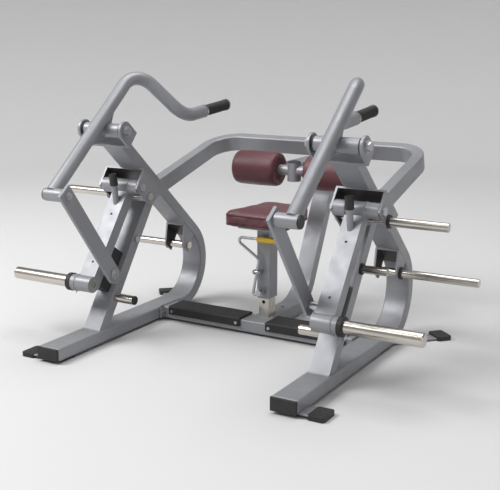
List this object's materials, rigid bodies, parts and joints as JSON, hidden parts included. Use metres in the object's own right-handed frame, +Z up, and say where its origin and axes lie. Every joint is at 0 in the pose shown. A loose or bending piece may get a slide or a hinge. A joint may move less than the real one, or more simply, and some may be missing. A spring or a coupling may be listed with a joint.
{
  "type": "seated dip machine",
  "caption": "Seated dip machine with two lever arms loaded by weight plates, a sliding seat and leg rollers on a bent-tube frame.",
  "frame": {"origin": "on the floor, at the middle of the bounding box", "axes": "+X to the right seen from the front, +Y from the open front towards the rear loop, +Z up"},
  "size_m": [1.78, 1.367, 1.0719],
  "materials": {
    "grey_paint": "satin",
    "rubber": "matt",
    "grip_rubber": "ribbed",
    "chrome": "polished",
    "steel": "bright",
    "vinyl": "stitched",
    "yellow_plastic": "gloss"
  },
  "bodies": {
    "frame": {"side_frame_left": "grey_paint", "side_frame_right": "grey_paint", "column_left": "grey_paint", "column_right": "grey_paint", "clevis_left": "grey_paint", "clevis_right": "grey_paint", "upper_bracket_left": "grey_paint", "upper_bracket_right": "grey_paint", "lower_bracket_left": "grey_paint", "lower_bracket_right": "grey_paint", "rear_loop": "grey_paint", "cross_member": "grey_paint", "centre_frame": "grey_paint", "roller_stem": "grey_paint", "roller_axle": "grey_paint", "stem_cap": "rubber", "seat_post": "chrome", "rail_caps": "rubber", "foot_plates": "grey_paint", "rubber_feet": "rubber", "step_pads": "rubber", "frame_bolts": "steel", "storage_horns_left": "chrome", "storage_horns_right": "chrome", "column_pegs": "chrome", "peg_rings": "rubber", "rest_buffers": "rubber", "pivot_axles": "steel", "hub_axles": "steel"},
    "left_handle": {"handle_arm_left": "grey_paint", "handle_rings_left": "rubber", "grip_left": "grip_rubber", "grip_collars_left": "chrome"},
    "left_link": {"link_left": "grey_paint", "link_bolt_left": "steel"},
    "left_weight_arm": {"weight_arm_left": "grey_paint", "bumper_left": "rubber", "weight_horn_left": "chrome", "horn_collar_left": "rubber", "link_pin_left": "steel"},
    "right_handle": {"handle_arm_right": "grey_paint", "handle_rings_right": "rubber", "grip_right": "grip_rubber", "grip_collars_right": "chrome"},
    "right_link": {"link_right": "grey_paint", "link_bolt_right": "steel"},
    "right_weight_arm": {"weight_arm_right": "grey_paint", "bumper_right": "rubber", "weight_horn_right": "chrome", "horn_collar_right": "rubber", "link_pin_right": "steel"},
    "seat": {"seat_carriage": "grey_paint", "seat_pad": "vinyl", "lever_bolt": "steel"},
    "lever": {"seat_lever": "steel", "lever_grip": "yellow_plastic"},
    "lock_pin": {"lock_pin": "steel"},
    "left_roller": {"roller_left": "vinyl"},
    "right_roller": {"roller_right": "vinyl"}
  },
  "joints": [
    {"name": "left_handle_press", "type": "hinge", "parent": "frame", "child": "left_handle", "pos_m": [-0.5075, -0.29523, 0.85142], "axis": [-1, 0, 0], "range_deg": [0, 40]},
    {"name": "left_link_swing", "type": "hinge", "parent": "left_handle", "child": "left_link", "pos_m": [-0.4345, -0.61855, 0.64], "axis": [1, 0, 0], "range_deg": [0, 25.5]},
    {"name": "left_weight_arm_swing", "type": "hinge", "parent": "frame", "child": "left_weight_arm", "pos_m": [-0.5245, -0.16254, 0.608], "axis": [-1, 0, 0], "range_deg": [0, 41.5]},
    {"name": "right_handle_press", "type": "hinge", "parent": "frame", "child": "right_handle", "pos_m": [0.5075, -0.29523, 0.85142], "axis": [-1, 0, 0], "range_deg": [0, 40]},
    {"name": "right_link_swing", "type": "hinge", "parent": "right_handle", "child": "right_link", "pos_m": [0.4345, -0.61855, 0.64], "axis": [1, 0, 0], "range_deg": [0, 25.5]},
    {"name": "right_weight_arm_swing", "type": "hinge", "parent": "frame", "child": "right_weight_arm", "pos_m": [0.5245, -0.16254, 0.608], "axis": [-1, 0, 0], "range_deg": [0, 41.5]},
    {"name": "seat_height", "type": "slide", "parent": "frame", "child": "seat", "axis": [0, 0, 1], "range_m": [-0.05, 0.05]},
    {"name": "lever_squeeze", "type": "hinge", "parent": "seat", "child": "lever", "pos_m": [-0.016, 0.05846, 0.256], "axis": [-1, 0, 0], "range_deg": [0, 5], "stiffness_Nm_per_rad": 6},
    {"name": "lock_pin_pull", "type": "slide", "parent": "seat", "child": "lock_pin", "axis": [0, -1, 0], "range_m": [0, 0.0075]},
    {"name": "left_roller_spin", "type": "hinge", "parent": "frame", "child": "left_roller", "pos_m": [-0.1745, 0.35646, 0.645], "axis": [1, 0, 0], "continuous": true},
    {"name": "right_roller_spin", "type": "hinge", "parent": "frame", "child": "right_roller", "pos_m": [0.1745, 0.35646, 0.645], "axis": [1, 0, 0], "continuous": true}
  ],
  "couplings": [
    {"joint": "left_link_swing", "follows": "left_handle_press", "ratio": 0.63},
    {"joint": "left_weight_arm_swing", "follows": "left_handle_press", "ratio": 1.0165},
    {"joint": "right_link_swing", "follows": "right_handle_press", "ratio": 0.63},
    {"joint": "right_weight_arm_swing", "follows": "right_handle_press", "ratio": 1.0165},
    {"joint": "lock_pin_pull", "follows": "lever_squeeze", "m_per_rad": 0.084}
  ]
}
